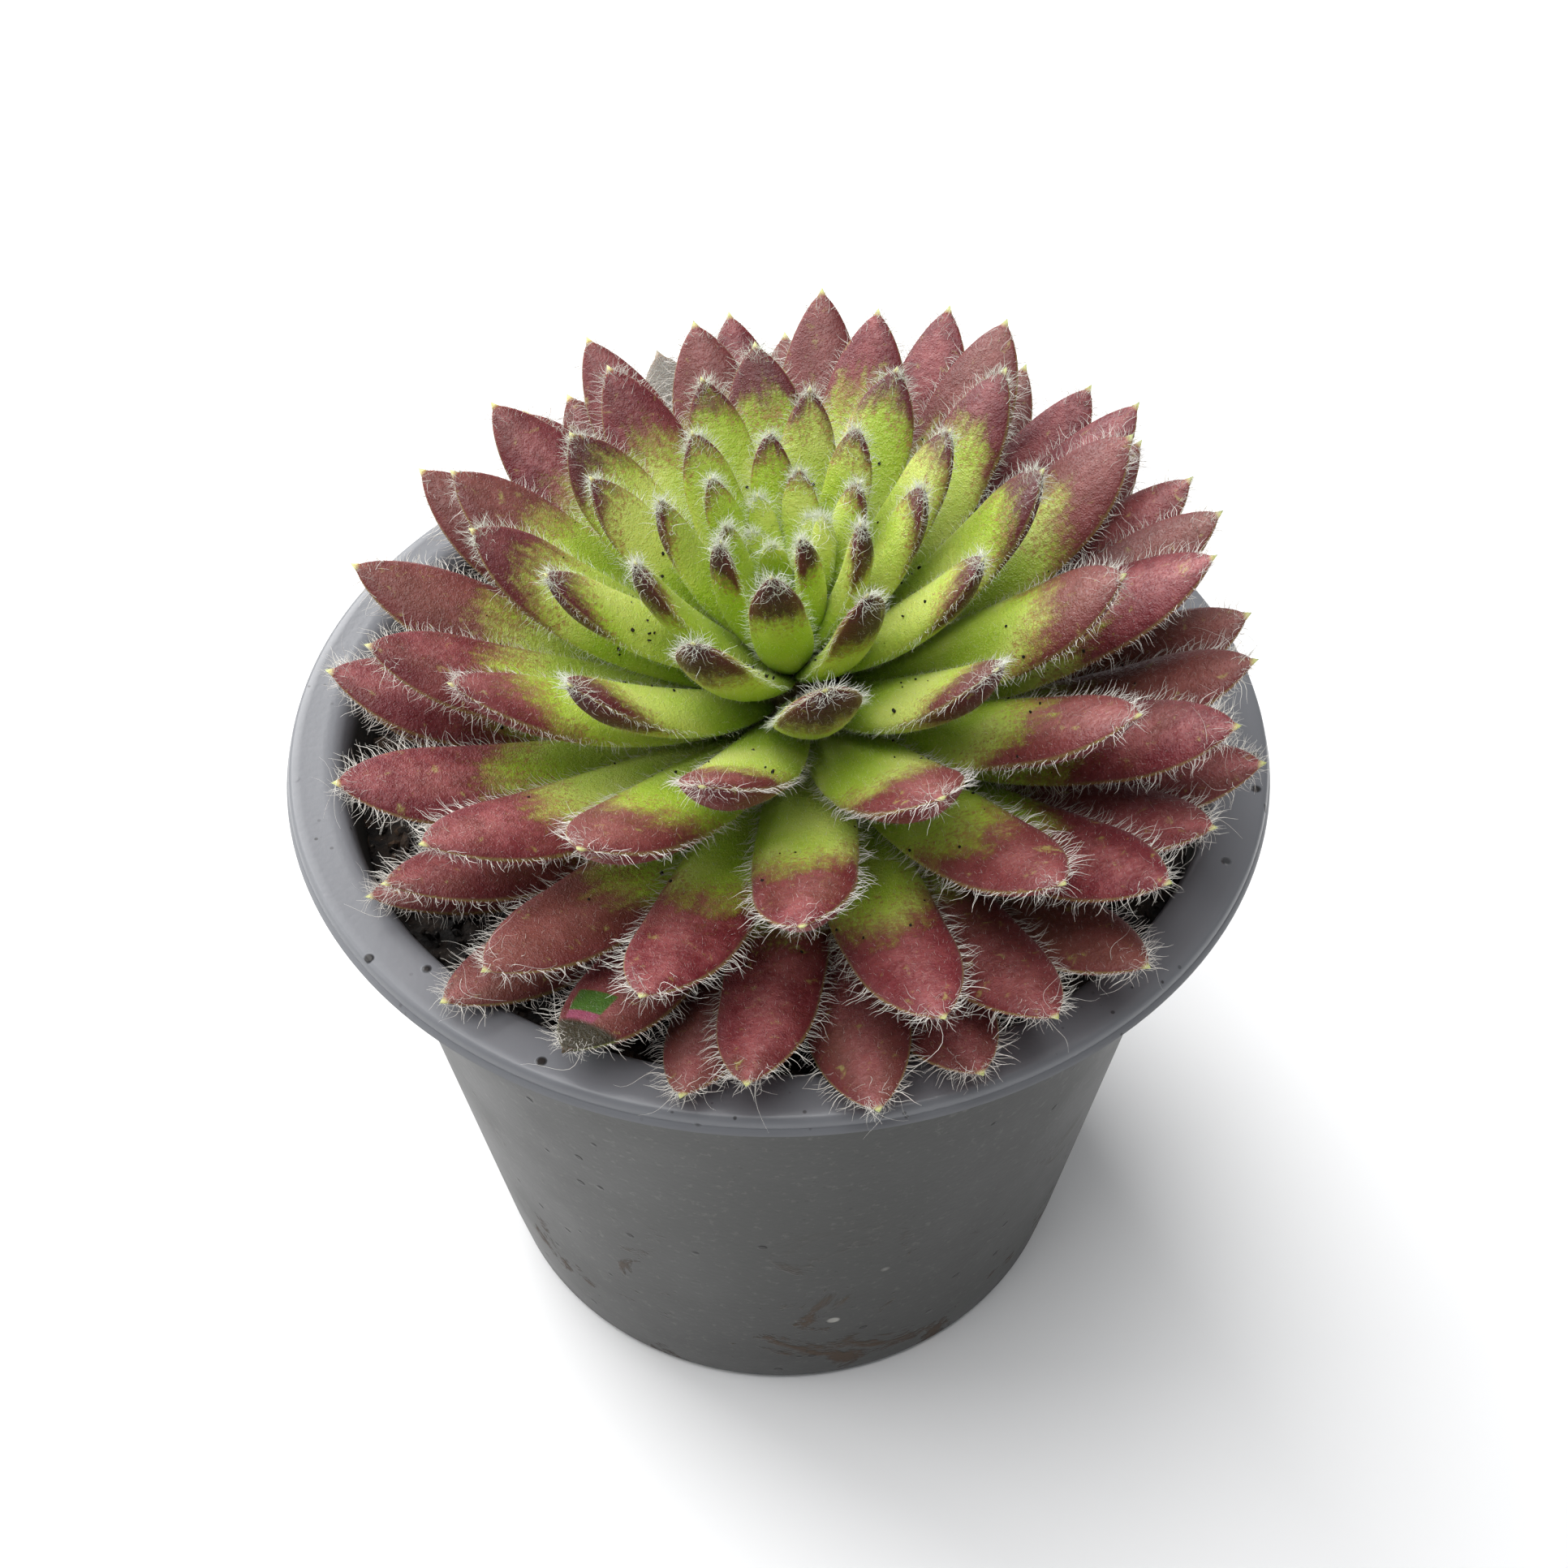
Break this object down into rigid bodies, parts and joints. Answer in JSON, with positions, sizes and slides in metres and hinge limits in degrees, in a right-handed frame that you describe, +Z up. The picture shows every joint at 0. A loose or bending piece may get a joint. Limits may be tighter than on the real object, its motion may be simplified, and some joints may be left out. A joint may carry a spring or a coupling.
{
  "type": "potted houseleek",
  "caption": "Hairy rosette succulent, green at the heart and burgundy at the leaf tips, leaning out of a round grey plastic nursery pot filled with soil.",
  "frame": {"origin": "middle of the pot's base, on the surface it stands on", "axes": "+Z up along the pot's axis, -Y towards the front, the side the rosette leans to, +X to the right seen from the front"},
  "size_m": [0.105, 0.1068, 0.1154],
  "materials": {
    "pot_plastic": "satin grey plastic, lighter on the rim, with dried soil specks",
    "soil": "dark crumbly potting soil",
    "stem_skin": "dry brown stem skin",
    "heart_skin": "bright green young leaves with maroon caps and white hairs",
    "leaf_skin": "velvety leaf, yellow-green at the foot and burgundy towards the tip, fringed with white hairs",
    "dry_skin": "withered papery brown leaf"
  },
  "bodies": {
    "root": {"pot": "pot_plastic", "soil": "soil", "stem": "stem_skin", "heart": "heart_skin", "leaf_01": "leaf_skin", "leaf_02": "leaf_skin", "leaf_03": "leaf_skin", "leaf_04": "leaf_skin", "leaf_05": "leaf_skin", "leaf_06": "leaf_skin", "leaf_07": "leaf_skin", "leaf_08": "leaf_skin", "leaf_09": "leaf_skin", "leaf_10": "leaf_skin", "leaf_11": "leaf_skin", "leaf_12": "leaf_skin", "leaf_13": "leaf_skin", "leaf_14": "leaf_skin", "leaf_15": "leaf_skin", "leaf_16": "leaf_skin", "leaf_17": "leaf_skin", "leaf_18": "leaf_skin", "leaf_19": "leaf_skin", "leaf_20": "leaf_skin", "leaf_21": "leaf_skin", "leaf_22": "leaf_skin", "leaf_23": "leaf_skin", "leaf_24": "leaf_skin", "leaf_25": "leaf_skin", "leaf_26": "leaf_skin", "leaf_27": "leaf_skin", "leaf_28": "leaf_skin", "leaf_29": "leaf_skin", "leaf_30": "leaf_skin", "leaf_31": "leaf_skin", "leaf_32": "leaf_skin", "leaf_33": "leaf_skin", "leaf_34": "leaf_skin", "leaf_35": "leaf_skin", "leaf_36": "leaf_skin", "leaf_37": "leaf_skin", "leaf_38": "leaf_skin", "leaf_39": "leaf_skin", "leaf_40": "leaf_skin", "leaf_41": "leaf_skin", "leaf_42": "leaf_skin", "leaf_43": "leaf_skin", "leaf_44": "leaf_skin", "leaf_45": "leaf_skin", "leaf_46": "leaf_skin", "leaf_47": "leaf_skin", "leaf_48": "leaf_skin", "leaf_49": "leaf_skin", "leaf_50": "leaf_skin", "leaf_51": "leaf_skin", "leaf_52": "leaf_skin", "leaf_53": "leaf_skin", "leaf_54": "leaf_skin", "dry_leaf_1": "dry_skin", "dry_leaf_2": "dry_skin"}
  },
  "joints": []
}
